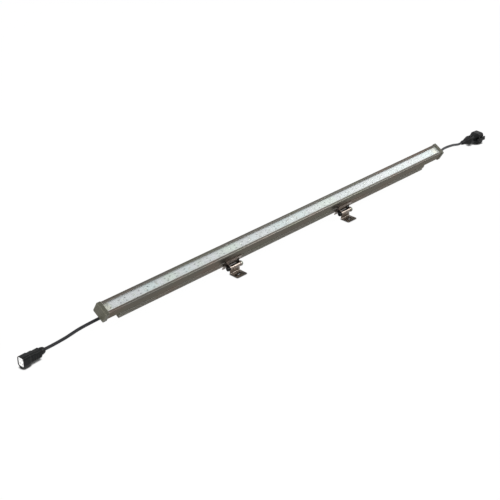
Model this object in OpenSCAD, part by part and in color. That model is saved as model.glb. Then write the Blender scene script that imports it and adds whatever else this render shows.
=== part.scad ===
// Outdoor wall washer light: a slim aluminium bar of LED boards behind a clear lens, carried by
// two hinged feet that slide along the bar, with a short lead and connector at each end.
// X runs along the bar, Y towards the back and Z up. The origin lies midway between the fixing
// slots of the two feet, on the surface that the feet are screwed to.

/* [Bar] */
// Overall length of the bar over its end caps
bar_len = 1000; // [900:10:1200]
// Lean of the lens towards the front, in degrees from level
tilt = 30; // [20:1:45]
// Width of the aluminium housing
housing_w = 29; // [28:0.5:33]
// Height of the upper channel, which holds the LED boards
channel_h = 19; // [18:0.5:23]
// Height of the mounting rail under the channel
rail_h = 19; // [18.5:0.5:22]
// Thickness of the channel's side walls
wall_t = 2.2; // [1.8:0.1:2.6]
// Thickness of the channel's floor
floor_t = 2.2; // [1.8:0.1:2.6]
// Thickness of the shelf under the LED boards
shelf_t = 1.8; // [1.4:0.1:2.2]
// Length of rail cut away at the left end of the bar
cut_left = 42; // [42:1:60]
// Length of rail cut away at the right end of the bar
cut_right = 56; // [43:1:70]

/* [Rail] */
// Width of the slot's mouth under the rail
slot_w = 8.2; // [7.6:0.2:9]
// Width of the slot inside, where the nuts slide
slot_inner_w = 14; // [13:0.5:15.5]
// Height of the slot inside
slot_inner_h = 5.8; // [5.4:0.1:6.2]
// Thickness of the slot's two lips
slot_lip_t = 2.2; // [1.8:0.1:2.6]
// Depth of the waist between channel and rail on each side
waist_in = 2; // [1.5:0.1:2.5]

/* [Lens and boards] */
// Width of the clear opening between the two rims
opening_w = 16; // [13:0.5:16.5]
// Thickness of the clear lens
lens_t = 2; // [1.5:0.1:2.4]
// Number of LED boards end to end
board_count = 4; // [4:1:4]
// Thickness of an LED board
board_t = 1.2; // [1:0.1:1.6]
// Width of an LED board
board_w = 22; // [20:0.5:23]
// LEDs on each board
leds_per_board = 9; // [6:1:12]

/* [End caps] */
// Thickness of an end cap along the bar
cap_t = 8.2; // [7:0.2:10]
// How far a cap stands proud of the housing
cap_proud = 1; // [0.5:0.1:1.5]
// How far a cap reaches down past the channel
cap_drop = 5; // [4:0.2:5.5]

/* [Feet and clamps] */
// Distance between the centres of the two feet
foot_spacing = 335; // [240:5:420]
// Thickness of the stainless sheet
sheet_t = 1.8; // [1.5:0.1:2]
// Width of a foot along the bar
foot_w = 26; // [24:1:30]
// Reach of a foot to the front of its web
foot_reach = 19.8; // [19:0.2:26]
// Height of the hinge above the mounting surface
pivot_z = 14.1; // [14:0.1:20]
// Length of the fixing slot in a foot
slot_len = 12; // [10:1:16]
// Width of the fixing slot in a foot
slot_hole_w = 4.5; // [4.5:0.5:6]
// Diameter of the hinge bolts and clamp screws
bolt_d = 5; // [4.6:0.1:5]

/* [Leads and connectors] */
// Diameter of a lead
lead_d = 6; // [5:0.5:6]
// Width of the plug's shroud
plug_w = 17; // [16:0.5:18]
// Height of the plug's shroud
plug_h = 20.5; // [19:0.5:21.5]
// Length of the plug
plug_len = 53; // [48:1:58]
// Width of the socket's mouth end
socket_w = 27; // [25:0.5:28]
// Height of the socket's mouth end, over the side that has the latch
socket_h = 26; // [25:0.5:27]
// Length of the socket
socket_len = 62; // [58:1:66]

/* [Hidden] */
$fn = 48;
eps = 0.01;
overrun = 1;

// Levels in the bar's own section, up from the underside of the rail
total_h = rail_h + channel_h;
rim_drop = 0.8;
lip_t = 0.6;
seal_t = 0.5;
ledge_t = 1.2;
board_air = 0.9;
lens_top = total_h - rim_drop - lip_t;
lens_z = lens_top - lens_t;
ledge_top = lens_z - seal_t;
ledge_z = ledge_top - ledge_t;
shelf_top = ledge_z - board_air - board_t;
shelf_z = shelf_top - shelf_t;
floor_top = rail_h + floor_t;
board_top = shelf_top + board_t;

// Widths in the bar's own section
rim_slope_w = 1.5;
rim_inner_w = opening_w + 2 * rim_slope_w;
inner_w = housing_w - 2 * wall_t;
groove_bite = 2.6;
groove_w = opening_w + 2 * groove_bite;
ledge_bite = 1.3;
ledge_gap_w = opening_w + 2 * ledge_bite;
rim_r = 2.4;
edge_r = 0.8;

// The rail's outline
waist_h = 2.2;
shoulder_z = rail_h - waist_h - waist_in;
side_groove_z = 4;
side_groove_h = 4.2;
side_groove_in = 1.2;
slot_top = slot_lip_t + slot_inner_h;
core_w = 17;
core_wall = 1.7;

// Lengths along the bar
gasket_t = 0.8;
body_len = bar_len - 2 * (cap_t + gasket_t);
body_x = body_len / 2;
rail_x0 = -bar_len / 2 + cut_left;
rail_x1 = bar_len / 2 - cut_right;
board_len = (body_len - 2 * overrun) / board_count;
board_gap = 0.3;

// The hinge: where it stands in the world, and where it lies in the bar's section
foot_front = 8.8;
pivot_y = foot_reach - foot_front + overrun;
pivot_fwd = housing_w / 2 + 7.75;
pivot_drop = 2.1;
bolt_r = bolt_d / 2;

// Bolts, nuts and washers, from the diameter of the bolt
head_r = 0.85 * bolt_d;
head_h = bolt_d;
key_af = 0.8 * bolt_d;
key_depth = bolt_d / 2;
nut_af = 1.6 * bolt_d;
nut_h = 0.7 * bolt_d;
flange_r = 1.1 * bolt_d;
flange_h = 1.4;
washer_r = bolt_d;
washer_t = 1;
hex_points = 6;

// Clearances
run_gap = 0.06;
slide_gap = 0.2;
hole_gap = 0.1;
fit_gap = 0.1;

// The foot and its rolled knuckle
knuckle_bore_r = bolt_r + run_gap;
knuckle_r = knuckle_bore_r + sheet_t;
web_hole_r = 1.5;
web_hole_x = 6.4;
foot_corner_r = 2;

// The clamp plate: a sheet that hooks over the rail's shoulder and carries the hinge's ears
ear_gap = 0.2;
ear_x = foot_w / 2 + ear_gap;
ear_r = 5;
clamp_left_reach = 27;
clamp_right_reach = ear_x + sheet_t;
clamp_y = housing_w / 2 + slide_gap;
clamp_drop = 7.6;
hook_z = rail_h - waist_h + slide_gap;
hook_y = housing_w / 2 - waist_in + slide_gap;
window_top = 11.4;
strip_top = 0.6;
wing_hole_r = 1.7;
wing_hole_inset = 4;
wing_corner_r = 2;
tongue_w = 2 * ear_x;
tongue_back = 8;
nut_block_l = 13;
nut_block_h = 4.4;

// The cable entries under the channel
entry_inset = 24;
entry_x = bar_len / 2 - entry_inset;
entry_len = 16;
entry_w = 14;
entry_fwd = 2.5;
entry_axis_z = 10.3;
entry_bottom = 5.6;
entry_corner_r = 2;
stub_r = 4;
stub_nut_af = 12;
stub_nut_h = 3;
boot_len = 14;
boot_r = 5;
boot_tip_r = 3.6;
boot_rib_t = 0.5;
boot_ribs = 4;

// Route of the left lead, from inside its entry block to inside the plug's boot
lead_left_route = [
    [-470, 22.9, 34.7], [-480, 22.9, 34.7], [-491, 22.9, 34.7], [-504, 23, 34.6], [-515, 23.4, 34],
    [-526, 24.1, 33], [-535, 25.6, 31.3], [-544, 28, 28.4], [-553, 30.5, 24.8], [-563, 33.3, 20.8],
    [-574, 36, 17.5], [-585, 38.2, 14.9], [-596, 39.8, 13.2], [-607, 40.2, 12.7], [-616, 39.54, 12.7]
];

// Route of the right lead, from inside its entry block to inside the socket's boot
lead_right_route = [
    [470, 22.9, 34.7], [480, 22.9, 34.7], [491, 22.9, 34.7], [505, 23.6, 34.7], [518, 26.1, 34.6],
    [535, 31.2, 34.2], [552, 36.8, 33.2], [570, 40.5, 30.8], [589, 43.2, 27.6], [606, 45.8, 24],
    [620, 48.2, 19.8], [632, 50.6, 16], [642, 52.3, 13.9], [650, 52.46, 13.5], [655, 52, 13.5],
    [663, 51.26, 13.5]
];
lead_sides = 10;

// Where the connectors lie: the end of the boot, and the turn about Z in degrees
plug_at = [-607, 40.2, 12.7];
plug_yaw = 4.2;
socket_at = [655, 52, socket_w / 2];
socket_yaw = -5.3;

// Points of an arc about a centre, from one angle to another
function arc(centre, r, from, to, steps = 5) =
    [for (i = [0:steps]) centre + r * [cos(from + (to - from) * i / steps), sin(from + (to - from) * i / steps)]];

// An outline made whole by its mirror image across the middle of the section
function both_sides(half) =
    concat(half, [for (i = [len(half) - 1:-1:0]) [-half[i][0], half[i][1]]]);

// Places the bar's section frame in the world: X along the bar, Y back, Z up from the rail's foot
module in_bar() {
    translate([0, pivot_y, pivot_z])
        rotate([tilt, 0, 0])
            translate([0, pivot_fwd, pivot_drop])
                children();
}

// Extrudes an outline drawn in Y and Z along X
module along_x(from, to) {
    translate([from, 0, 0])
        rotate([90, 0, 90])
            linear_extrude(to - from)
                children();
}

// A rod along X
module rod_x(r, from, to) {
    translate([from, 0, 0])
        rotate([0, 90, 0])
            cylinder(r = r, h = to - from);
}

// A hexagonal bar along X, given across its flats
module hex_x(af, from, to) {
    translate([from, 0, 0])
        rotate([0, 90, 0])
            cylinder(d = af / cos(180 / hex_points), h = to - from, $fn = hex_points);
}

// A band across the section between two levels
module band(w, low, high) {
    translate([-w / 2, low])
        square([w, high - low]);
}

// A rectangle with round corners, centred
module round_rect(w, h, r) {
    square([w - 2 * r, h], center = true);
    square([w, h - 2 * r], center = true);
    for (sx = [-1, 1], sy = [-1, 1])
        translate([sx * (w / 2 - r), sy * (h / 2 - r)])
            circle(r);
}

// The section of the aluminium extrusion: a lens channel over a closed wire chamber, over a
// waisted rail with a nut slot in its underside and a shadow groove in each side
module housing_section() {
    half_w = housing_w / 2;
    waist_half = half_w - waist_in;
    channel_half = concat(
        arc([half_w - edge_r, rail_h + edge_r], edge_r, -90, 0),
        arc([half_w - rim_r, total_h - rim_r], rim_r, 0, 90),
        [[rim_inner_w / 2, total_h], [opening_w / 2, total_h - rim_drop]]
    );
    rail_half = concat(
        arc([half_w - edge_r, edge_r], edge_r, -90, 0),
        [
            [half_w, side_groove_z],
            [half_w - side_groove_in, side_groove_z + side_groove_in],
            [half_w - side_groove_in, side_groove_z + side_groove_h - side_groove_in],
            [half_w, side_groove_z + side_groove_h],
            [half_w, shoulder_z],
            [waist_half, shoulder_z + waist_in],
            [waist_half, rail_h + eps]
        ]
    );
    difference() {
        union() {
            polygon(both_sides(channel_half));
            polygon(both_sides(rail_half));
        }
        band(opening_w, lens_top, total_h);
        band(groove_w, ledge_top, lens_top);
        band(ledge_gap_w, ledge_z - eps, ledge_top + eps);
        band(inner_w, shelf_top, ledge_z);
        band(inner_w, floor_top, shelf_z);
        band(slot_w, -overrun, slot_lip_t + eps);
        band(slot_inner_w, slot_lip_t, slot_top);
        band(core_w, slot_top + core_wall, rail_h - core_wall);
    }
}

// Places a child at each screw of the LED boards
screw_share = [0.034, 0.5, 0.966];
module at_board_screws() {
    for (b = [0:board_count - 1], s = screw_share)
        translate([board_x(b) + s * board_len, board_screw_y, 0])
            children();
}
function board_x(b) = -board_len * board_count / 2 + b * board_len;
board_screw_y = 4.4;
board_screw_r = 1.2;
board_screw_head_r = 2.2;
board_screw_head_h = 0.7;
board_screw_len = board_t + 1.4;
link_hole_r = 1.6;
link_hole_inset = 5;
link_hole_y = 7;

module housing() {
    color([0.40, 0.38, 0.36])
        in_bar()
            difference() {
                along_x(-body_x, body_x)
                    housing_section();
                rail_cut(-body_x - overrun, rail_x0);
                rail_cut(rail_x1, body_x + overrun);
                for (side = [-1, 1]) {
                    translate([side * (entry_x - entry_len / 2), -entry_fwd, rail_h - overrun])
                        cylinder(r = stub_r + hole_gap, h = floor_t + 2 * overrun);
                    translate([side * tongue_screw_x, tongue_screw_y, rail_h - overrun])
                        cylinder(r = tongue_screw_r, h = floor_t + 2 * overrun);
                    translate([side * (body_x - link_hole_inset), link_hole_y, shelf_z - overrun])
                        cylinder(r = link_hole_r, h = shelf_t + 2 * overrun);
                }
                at_board_screws()
                    translate([0, 0, shelf_z - overrun])
                        cylinder(r = board_screw_r, h = shelf_t + 2 * overrun);
            }
}

module rail_cut(from, to) {
    translate([from, -housing_w / 2 - overrun, -overrun])
        cube([to - from, housing_w + 2 * overrun, rail_h + overrun]);
}

// The clear lens slides into the grooves under the rims and lies on two soft strips
lens_gap = 0.15;
module lens() {
    color([0.86, 0.93, 0.94, 0.4])
        in_bar()
            along_x(-body_x, body_x)
                band(groove_w - 2 * lens_gap, lens_z, lens_top);
}

seal_w = 1.1;
module lens_seals() {
    color([0.75, 0.77, 0.76])
        in_bar()
            for (side = [-1, 1])
                translate([0, side * (groove_w - seal_w - 2 * lens_gap) / 2, 0])
                    along_x(-body_x, body_x)
                        band(seal_w, ledge_top, lens_z);
}

// One LED board: white aluminium-core board, screwed to the shelf
module led_board(b) {
    color([0.93, 0.95, 0.95])
        in_bar()
            difference() {
                translate([board_x(b) + board_gap / 2, -board_w / 2, shelf_top])
                    cube([board_len - board_gap, board_w, board_t]);
                at_board_screws()
                    translate([0, 0, shelf_top - overrun])
                        cylinder(r = board_screw_r, h = board_t + 2 * overrun);
            }
}

module at_leds() {
    for (b = [0:board_count - 1], i = [0:leds_per_board - 1])
        translate([board_x(b) + (i + 0.5) * board_len / leds_per_board, 0, board_top])
            children();
}

package_side = 3.5;
package_h = 0.7;
dome_r = 1.4;
module led_packages() {
    color([0.95, 0.94, 0.86])
        in_bar()
            at_leds()
                translate([-package_side / 2, -package_side / 2, 0])
                    cube([package_side, package_side, package_h]);
}

module led_domes() {
    color([0.96, 0.97, 0.93])
        in_bar()
            at_leds()
                translate([0, 0, package_h])
                    difference() {
                        sphere(dome_r, $fn = 24);
                        translate([0, 0, -dome_r])
                            cube(2 * dome_r, center = true);
                    }
}

// Small parts on each board, as shares of its length, in a back row and a front row
back_row_share = [0.141, 0.196, 0.333, 0.418, 0.589, 0.640, 0.694, 0.791, 0.899, 0.939];
front_row_share = [0.044, 0.141, 0.196, 0.333, 0.395, 0.464, 0.604, 0.694, 0.791, 0.914];
row_y = 3.2;
part_size = [2, 1.3, 0.6];
module board_parts() {
    color([0.35, 0.37, 0.38])
        in_bar()
            for (b = [0:board_count - 1]) {
                for (s = back_row_share)
                    board_part(board_x(b) + s * board_len, row_y);
                for (s = front_row_share)
                    board_part(board_x(b) + s * board_len, -row_y);
            }
}

module board_part(x, y) {
    translate([x - part_size[0] / 2, y - part_size[1] / 2, board_top])
        cube(part_size);
}

module board_screws() {
    color([0.62, 0.63, 0.63])
        in_bar()
            at_board_screws()
                translate([0, 0, board_top])
                    difference() {
                        union() {
                            cylinder(r = board_screw_head_r, h = board_screw_head_h);
                            translate([0, 0, -board_screw_len])
                                cylinder(r = board_screw_r, h = board_screw_len + eps);
                        }
                        translate([0, 0, board_screw_head_h / 2])
                            cylinder(r = board_screw_r, h = board_screw_head_h, $fn = hex_points);
                    }
}

// Jumpers that join neighbouring boards, two at each joint
link_len = 6;
link_w = 1.2;
link_h = 0.8;
link_y = 1.6;
module board_links() {
    color([0.80, 0.62, 0.30])
        in_bar()
            for (b = [1:board_count - 1], side = [-1, 1])
                translate([board_x(b) - link_len / 2, side * link_y - link_w / 2, board_top])
                    cube([link_len, link_w, link_h]);
}

// The current regulator in the wire chamber under the shelf
driver_len = 180;
driver_w = 18;
driver_t = 1.6;
driver_inset = 70;
driver_x = -bar_len / 2 + driver_inset;
driver_air = 0.3;
module driver_board() {
    color([0.10, 0.35, 0.20])
        in_bar()
            translate([driver_x, -driver_w / 2, floor_top])
                cube([driver_len, driver_w, driver_t]);
}

driver_room = shelf_z - floor_top - driver_t - driver_air;
module driver_parts() {
    in_bar()
        translate([driver_x, 0, floor_top + driver_t]) {
            color([0.12, 0.12, 0.13])
                for (s = [0.14, 0.52, 0.86])
                    translate([s * driver_len, -choke_side / 2, 0])
                        cube([choke_side, choke_side, driver_room]);
            color([0.55, 0.57, 0.60])
                for (s = [0.32, 0.42, 0.72])
                    translate([s * driver_len, 0, 0])
                        cylinder(r = driver_room / 2, h = driver_room);
        }
}
choke_side = 8;

// Wires from an entry's stub along the chamber to the regulator, or through to the other end
wire_r = 0.9;
wire_y = 3;
module wire_pair(from, to) {
    for (side = [-1, 1])
        translate([0, side * wire_y / 2 - entry_fwd, floor_top + stub_nut_h + wire_r + driver_air])
            rod_x(wire_r, from, to);
}

module supply_wires_left() {
    color([0.55, 0.12, 0.10])
        in_bar()
            wire_pair(-entry_x + entry_len / 2, driver_x - eps);
}

module supply_wires_right() {
    color([0.15, 0.15, 0.16])
        in_bar()
            wire_pair(driver_x + driver_len + eps, entry_x - entry_len / 2);
}

// Two wires that rise through the shelf to the first board
feed_r = 0.7;
module feed_wires() {
    color([0.75, 0.72, 0.65])
        in_bar()
            for (side = [-1, 1])
                translate([side * (body_x - link_hole_inset), link_hole_y, floor_top])
                    cylinder(r = feed_r, h = shelf_top - floor_top);
}

// An end cap: a painted die casting, hollow inside, with a tongue under the channel's floor
tongue_len = 12;
cap_tongue_w = 16;
cap_tongue_t = 3.2;
tongue_screw_x = body_x - tongue_len / 2;
tongue_screw_y = 5;
tongue_screw_r = 1.5;
cap_corner_r = 2.6;
cap_edge = 0.7;
cap_pocket_wall = 2;
cap_w = housing_w + 2 * cap_proud;
cap_bottom = rail_h - cap_drop;
cap_h = total_h + cap_proud - cap_bottom;
module cap_outline(inset) {
    translate([0, cap_bottom + cap_h / 2])
        round_rect(cap_w - 2 * inset, cap_h - 2 * inset, cap_corner_r - inset);
}

module end_cap(side) {
    color([0.38, 0.37, 0.33])
        in_bar()
            scale([side, 1, 1])
                difference() {
                    union() {
                        along_x(bar_len / 2 - cap_t, bar_len / 2 - cap_edge)
                            cap_outline(0);
                        hull() {
                            along_x(bar_len / 2 - cap_edge - eps, bar_len / 2 - cap_edge)
                                cap_outline(0, $fn = 32);
                            along_x(bar_len / 2 - eps, bar_len / 2)
                                cap_outline(cap_edge, $fn = 32);
                        }
                        translate([body_x - tongue_len, -cap_tongue_w / 2, rail_h - cap_tongue_t])
                            cube([tongue_len + gasket_t + eps, cap_tongue_w, cap_tongue_t]);
                    }
                    along_x(bar_len / 2 - cap_t - eps, bar_len / 2 - cap_pocket_wall)
                        band(inner_w, floor_top, shelf_z);
                    translate([tongue_screw_x, tongue_screw_y, rail_h - cap_tongue_t - overrun])
                        cylinder(r = tongue_screw_r + hole_gap, h = cap_tongue_t + 2 * overrun);
                }
}

module cap_gasket(side) {
    color([0.78, 0.79, 0.77])
        in_bar()
            scale([side, 1, 1])
                along_x(body_x, body_x + gasket_t)
                    difference() {
                        band(housing_w - cap_proud, rail_h, total_h - cap_proud);
                        band(inner_w, floor_top, shelf_z);
                    }
}

cap_screw_head_r = 2.75;
cap_screw_head_h = 1.6;
cap_screw_len = cap_tongue_t + floor_t;
module cap_screw(side) {
    color([0.70, 0.70, 0.70])
        in_bar()
            translate([side * tongue_screw_x, tongue_screw_y, rail_h - cap_tongue_t])
                difference() {
                    union() {
                        cylinder(r = tongue_screw_r, h = cap_screw_len);
                        translate([0, 0, -cap_screw_head_h])
                            cylinder(r = cap_screw_head_r, h = cap_screw_head_h);
                    }
                    translate([0, 0, -cap_screw_head_h - eps])
                        cylinder(r = tongue_screw_r, h = cap_screw_head_h / 2, $fn = hex_points);
                }
}

// A cable entry: a moulded block under the channel's floor, with a threaded stub up into the
// wire chamber and a ribbed boot round the lead
module entry_block(side) {
    color([0.10, 0.10, 0.10])
        in_bar()
            difference() {
                union() {
                    scale([side, 1, 1])
                        along_x(entry_x - entry_len, entry_x)
                            translate([-entry_fwd, (entry_bottom + rail_h) / 2])
                                round_rect(entry_w, rail_h - entry_bottom, entry_corner_r);
                    translate([side * (entry_x - entry_len / 2), -entry_fwd, rail_h - eps])
                        cylinder(r = stub_r, h = floor_t + stub_nut_h + driver_air);
                }
                scale([side, 1, 1])
                    translate([0, -entry_fwd, entry_axis_z])
                        rod_x(lead_d / 2 + hole_gap, entry_x - entry_len / 2, entry_x + overrun);
            }
}

module entry_nut(side) {
    color([0.75, 0.65, 0.40])
        in_bar()
            translate([side * (entry_x - entry_len / 2), -entry_fwd, floor_top])
                difference() {
                    cylinder(d = stub_nut_af / cos(180 / hex_points), h = stub_nut_h, $fn = hex_points);
                    translate([0, 0, -overrun])
                        cylinder(r = stub_r + hole_gap, h = stub_nut_h + 2 * overrun);
                }
}

module entry_boot(side) {
    rib_pitch = boot_len / (boot_ribs + 1);
    color([0.09, 0.09, 0.09])
        in_bar()
            translate([side * entry_x, -entry_fwd, entry_axis_z])
                rotate([0, side * 90, 0])
                    difference() {
                        union() {
                            cylinder(r1 = boot_r, r2 = boot_tip_r, h = boot_len);
                            for (i = [1:boot_ribs])
                                translate([0, 0, i * rib_pitch])
                                    cylinder(r = boot_r - (boot_r - boot_tip_r) * i / boot_ribs + boot_rib_t,
                                             h = rib_pitch / 2);
                        }
                        translate([0, 0, -overrun])
                            cylinder(r = lead_d / 2 + fit_gap, h = boot_len + 2 * overrun);
                    }
}

// A round tube swept along a route's own points
function unit(v) = v / norm(v);
function heading(p, i) = unit(p[min(i + 1, len(p) - 1)] - p[max(i - 1, 0)]);
function ring(p, i, r, sides) =
    let (t = heading(p, i), n = unit(cross(t, [0, 0, 1])), b = cross(n, t))
    [for (k = [0:sides - 1]) p[i] + r * (cos(360 * k / sides) * n + sin(360 * k / sides) * b)];
module tube(p, r, sides) {
    last = len(p) - 1;
    points = [for (i = [0:last], q = ring(p, i, r, sides)) q];
    skin = [
        for (i = [0:last - 1], k = [0:sides - 1])
            let (a = i * sides + k, b = i * sides + (k + 1) % sides)
            each [[a, a + sides, b], [b, a + sides, b + sides]]
    ];
    polyhedron(points, concat(skin,
        [[for (k = [0:sides - 1]) k]],
        [[for (k = [sides - 1:-1:0]) last * sides + k]]));
}

module lead_left() {
    color([0.13, 0.13, 0.14])
        tube(lead_left_route, lead_d / 2, lead_sides);
}

module lead_right() {
    color([0.13, 0.13, 0.14])
        tube(lead_right_route, lead_d / 2, lead_sides);
}

// The plug at the left lead's end. Its own frame: X from the boot's end to the mouth
plug_shroud_len = 15;
plug_corner_r = 5;
plug_wall = 1.3;
plug_body_w = plug_w - 1.2;
plug_body_h = plug_h - 2;
plug_body_len = 26;
plug_step_back = 14.5;
plug_step = 1.4;
plug_tail_r = 5.2;
plug_boot_len = 8;
plug_tail_len = plug_len - plug_shroud_len - plug_body_len - plug_boot_len;
plug_recess = 1.2;
plug_floor = 4;
grip_depth = 0.6;
grip_count = 4;
module in_plug() {
    translate(plug_at)
        rotate([0, 0, 180 + plug_yaw])
            children();
}

// The back of the body is lower on top than its front
module plug_back_outline() {
    translate([0, -plug_step / 2])
        round_rect(plug_body_w, plug_body_h - plug_step, plug_corner_r);
}

module plug_shell() {
    shroud_x = plug_len - plug_shroud_len;
    body_x0 = shroud_x - plug_body_len;
    color([0.08, 0.08, 0.09])
        in_plug()
            difference() {
                union() {
                    along_x(shroud_x, plug_len)
                        round_rect(plug_w, plug_h, plug_corner_r);
                    along_x(body_x0 + plug_step_back, shroud_x + eps)
                        round_rect(plug_body_w, plug_body_h, plug_corner_r);
                    along_x(body_x0, body_x0 + plug_step_back + eps)
                        plug_back_outline();
                    hull() {
                        along_x(body_x0, body_x0 + eps)
                            plug_back_outline($fn = 32);
                        rod_x(plug_tail_r, body_x0 - plug_tail_len, body_x0 - plug_tail_len + eps, $fn = 32);
                    }
                    plug_lug();
                }
                along_x(shroud_x + plug_floor, plug_len + overrun)
                    round_rect(plug_w - 2 * plug_wall, plug_h - 2 * plug_wall, plug_corner_r - plug_wall);
                for (side = [-1, 1], i = [0:grip_count - 1])
                    translate([body_x0 + (i + 1) * plug_body_len / (grip_count + 1),
                               side * (plug_body_w / 2 + grip_depth), 0])
                        cylinder(r = 2 * grip_depth, h = plug_body_h / 2, center = true);
                rod_x(lead_d / 2 + hole_gap, body_x0 - plug_tail_len - overrun, body_x0);
            }
}

// The key under the shroud's mouth, which fits the slot beneath the socket's latch
lug_w = 6;
lug_h = 2.4;
lug_len = plug_shroud_len;
module plug_lug() {
    along_x(plug_len - lug_len, plug_len)
        translate([0, -plug_h / 2])
            polygon([[-lug_w / 2, 0], [-lug_w / 3, -lug_h], [lug_w / 3, -lug_h], [lug_w / 2, 0]]);
}

module plug_insert() {
    shroud_x = plug_len - plug_shroud_len;
    color([0.96, 0.96, 0.96])
        in_plug()
            difference() {
                along_x(shroud_x + plug_floor, plug_len - plug_recess)
                    round_rect(plug_w - 2 * (plug_wall + fit_gap), plug_h - 2 * (plug_wall + fit_gap),
                               plug_corner_r - plug_wall);
                at_contacts()
                    rod_x(contact_well_r, shroud_x + plug_floor + plug_recess, plug_len);
            }
}

contact_r = 0.8;
contact_well_r = 1.6;
contact_y = 3;
contact_z = 3.6;
module at_contacts() {
    for (sy = [-1, 1], sz = [-1, 1])
        translate([0, sy * contact_y, sz * contact_z])
            children();
}

module plug_pins() {
    shroud_x = plug_len - plug_shroud_len;
    color([0.80, 0.68, 0.35])
        in_plug()
            at_contacts()
                rod_x(contact_r, shroud_x + plug_floor + plug_recess, plug_len - plug_recess);
}

// A sealing ring in a groove round the body, close behind the shroud
plug_seal_t = 1.6;
plug_seal_r = 0.4;
module plug_seal() {
    shroud_x = plug_len - plug_shroud_len;
    color([0.10, 0.10, 0.10])
        in_plug()
            along_x(shroud_x - plug_seal_t, shroud_x)
                difference() {
                    round_rect(plug_body_w + 2 * plug_seal_r, plug_body_h + 2 * plug_seal_r,
                               plug_corner_r + plug_seal_r);
                    round_rect(plug_body_w, plug_body_h, plug_corner_r);
                }
}

plug_boot_r = 5;
module plug_boot() {
    color([0.09, 0.09, 0.09])
        in_plug()
            rotate([0, 90, 0])
                difference() {
                    cylinder(r1 = lead_d / 2 + plug_wall, r2 = plug_boot_r, h = plug_boot_len);
                    translate([0, 0, -overrun])
                        cylinder(r = lead_d / 2 + fit_gap, h = plug_boot_len + 2 * overrun);
                }
}

// The socket at the right lead's end. Its own frame: X from the boot's end to the mouth, with the
// latch underneath; it lies rolled a quarter turn, so that the latch faces the front
socket_neck_len = 4;
socket_neck_r = 5.4;
socket_grip_len = 18;
socket_grip_side = 19.6;
socket_waist_len = 13;
socket_waist_side = 18.4;
socket_flare_len = 11;
socket_corner_r = 6;
socket_front_r = 1.2;
cavity_gap = 0.4;
cavity_w = plug_w + 2 * cavity_gap;
cavity_h = plug_h + 2 * cavity_gap;
mate_gap = 2;
cavity_len = plug_shroud_len - mate_gap;
key_w = lug_w + 2 * cavity_gap;
module in_socket() {
    translate(socket_at)
        rotate([0, 0, socket_yaw])
            rotate([-90, 0, 0])
                children();
}

// A thin slice of the socket's outside, for its lofts
module socket_slice(x, w, h, r) {
    along_x(x, x + eps)
        round_rect(w, h, r, $fn = 32);
}

module socket_shell() {
    grip_x = socket_neck_len + socket_grip_len;
    waist_x = grip_x + socket_waist_len;
    mouth_x = waist_x + socket_flare_len;
    front_x = socket_len - socket_front_r;
    color([0.07, 0.07, 0.08])
        in_socket()
            difference() {
                union() {
                    rod_x(socket_neck_r, 0, socket_neck_len + eps);
                    hull() {
                        rod_x(socket_neck_r, socket_neck_len, socket_neck_len + eps, $fn = 32);
                        socket_slice(grip_x, socket_grip_side, socket_grip_side, socket_corner_r);
                    }
                    hull() {
                        socket_slice(grip_x, socket_grip_side, socket_grip_side, socket_corner_r);
                        socket_slice(waist_x, socket_waist_side, socket_waist_side, socket_corner_r);
                    }
                    hull() {
                        socket_slice(waist_x, socket_waist_side, socket_waist_side, socket_corner_r);
                        socket_slice(mouth_x, socket_w, socket_h, socket_corner_r);
                    }
                    along_x(mouth_x, front_x)
                        round_rect(socket_w, socket_h, socket_corner_r);
                    along_x(front_x - eps, socket_len)
                        round_rect(socket_w - socket_front_r, socket_h - socket_front_r,
                                   socket_corner_r - socket_front_r / 2);
                    latch_ears();
                }
                along_x(socket_len - cavity_len, socket_len + overrun)
                    round_rect(cavity_w, cavity_h, plug_corner_r);
                along_x(socket_len - cavity_len, socket_len + overrun)
                    translate([-key_w / 2, -socket_h])
                        square([key_w, socket_h]);
                along_x(socket_len - cavity_len - insert_seat, socket_len)
                    round_rect(insert_w, insert_h, plug_corner_r - plug_wall);
                rod_x(lead_d / 2 + hole_gap, -overrun, 3 * socket_neck_len);
            }
}

insert_gap = 0.25;
insert_seat = 3;
insert_w = plug_w - 2 * plug_wall - 2 * insert_gap;
insert_h = plug_h - 2 * plug_wall - 2 * insert_gap;
insert_len = insert_seat + plug_recess;
module socket_insert() {
    back_x = socket_len - cavity_len - insert_seat;
    color([0.90, 0.90, 0.88])
        in_socket()
            difference() {
                along_x(back_x, back_x + insert_len)
                    round_rect(insert_w - 2 * fit_gap, insert_h - 2 * fit_gap, plug_corner_r - plug_wall);
                at_contacts()
                    rod_x(contact_r, back_x + plug_wall, socket_len);
            }
}

module socket_contacts() {
    back_x = socket_len - cavity_len - insert_seat;
    color([0.80, 0.68, 0.35])
        in_socket()
            at_contacts()
                rod_x(contact_r, back_x + plug_wall, back_x + insert_len);
}

socket_boot_len = 4;
socket_boot_r = 5;
module socket_boot() {
    color([0.09, 0.09, 0.09])
        in_socket()
            rotate([0, -90, 0])
                difference() {
                    cylinder(r1 = socket_boot_r, r2 = lead_d / 2 + plug_wall, h = socket_boot_len);
                    translate([0, 0, -overrun])
                        cylinder(r = lead_d / 2 + fit_gap, h = socket_boot_len + 2 * overrun);
                }
}

// The latch: a lever that rocks on a pin over the key's slot and hooks past the mouth
latch_w = 8;
latch_t = 2.4;
latch_len = 30;
latch_lift = 0.9;
latch_pin_r = 1;
latch_pin_back = 18;
latch_ear_t = 1.6;
latch_ear_r = 2.4;
latch_ear_gap = 0.3;
latch_hook_t = 4;
latch_hook_len = 3;
latch_front = socket_len + 5;
latch_pin_x = socket_len - latch_pin_back;
latch_z = -(socket_h / 2 + latch_lift + latch_t / 2);
module at_latch_pin() {
    translate([latch_pin_x, 0, latch_z])
        rotate([90, 0, 0])
            children();
}

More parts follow.
